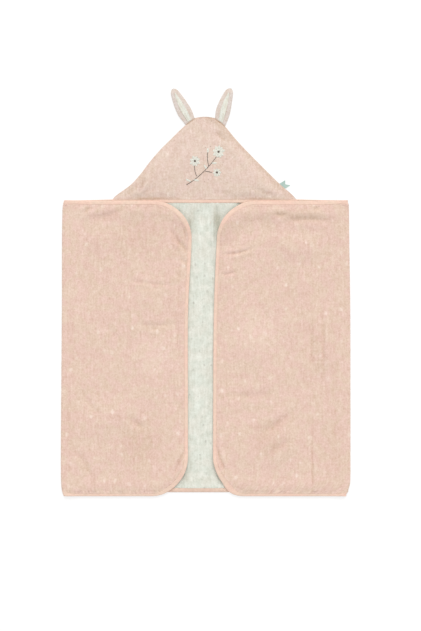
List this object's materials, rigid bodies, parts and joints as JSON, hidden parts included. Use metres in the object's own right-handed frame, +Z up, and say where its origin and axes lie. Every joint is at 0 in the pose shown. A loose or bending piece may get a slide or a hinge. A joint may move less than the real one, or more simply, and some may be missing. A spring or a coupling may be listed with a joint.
{
  "type": "baby bath towel with a hood",
  "caption": "Hooded bath towel of terry cloth, laid flat with its sides folded in over the back, with a pocket hood, soft ears, tape-bound edges and a ribbon tab.",
  "frame": {"origin": "middle of the body's underside, which lies flat at z = 0, halfway between its lower and upper hems", "axes": "+Z up, away from the surface the towel lies on; +Y from the body's lower hem to the hood and ears; +X to the right, seen from above with the hood at the top"},
  "size_m": [0.6855, 0.9659, 0.0114],
  "materials": {
    "terry_outside": "cotton terry pile, matt, pale pink with small light flecks",
    "terry_inside": "cotton terry pile, matt, off-white with small faint flecks",
    "binding_tape": "plain woven cotton bias tape, peach",
    "ribbon": "woven ribbon, plain, sage green",
    "thread_light": "embroidery thread, off-white, slight sheen",
    "thread_dark": "embroidery thread, dark brown, slight sheen"
  },
  "bodies": {
    "root": {"towel_body": "terry_outside", "body_binding": "binding_tape", "hood_back": "terry_outside", "hood_front": "terry_outside", "hood_binding": "binding_tape", "ear_left_back": "terry_outside", "ear_left_front": "terry_outside", "ear_left_inner": "terry_inside", "ear_right_back": "terry_outside", "ear_right_front": "terry_outside", "ear_right_inner": "terry_inside", "side_ribbon": "ribbon"}
  },
  "joints": []
}
